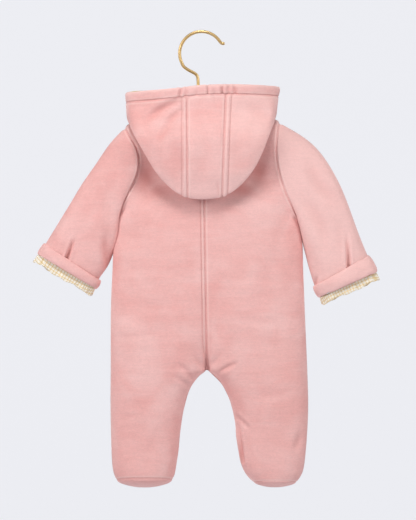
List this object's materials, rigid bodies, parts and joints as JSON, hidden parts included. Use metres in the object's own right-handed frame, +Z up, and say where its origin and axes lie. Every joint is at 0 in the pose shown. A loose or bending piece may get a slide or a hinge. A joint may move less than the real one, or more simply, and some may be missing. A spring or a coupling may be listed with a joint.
{
  "type": "baby snowsuit on hanger",
  "caption": "Padded, footed baby snowsuit with long sleeves, turned-back cuffs, a three-panel hood hanging down the back and a front zip, hung on a bent wire hook.",
  "frame": {"origin": "inner top of the hanger's hook, where a rail bears", "axes": "+Z up; the wearer faces -Y and the wearer's left is +X"},
  "size_m": [0.4859, 0.1156, 0.645],
  "materials": {
    "velour": "short-pile dusty pink velour over wadding",
    "check": "cream cotton with a fine straw-coloured check",
    "tape": "woven pink zip tape",
    "brass": "satin brass"
  },
  "bodies": {
    "suit": {"back_left": "velour", "back_right": "velour", "front_left": "velour", "front_right": "velour", "sleeve_left": "velour", "sleeve_right": "velour", "cuff_left": "velour", "cuff_right": "velour", "cuff_lining_left": "check", "cuff_lining_right": "check", "hood_centre": "velour", "hood_side_left": "velour", "hood_side_right": "velour", "hood_casing": "velour", "sole_left": "velour", "sole_right": "velour", "zip_tape_left": "tape", "zip_tape_right": "tape", "zip_slider": "brass", "hanger_hook": "brass", "hanger_arms": "brass"},
    "pull": {"zip_pull": "brass"}
  },
  "joints": [
    {"name": "pull_hinge", "type": "hinge", "parent": "suit", "child": "pull", "pos_m": [-0.00231, -0.03621, -0.137], "axis": [1, 0, 0], "range_deg": [-170, 0]}
  ]
}
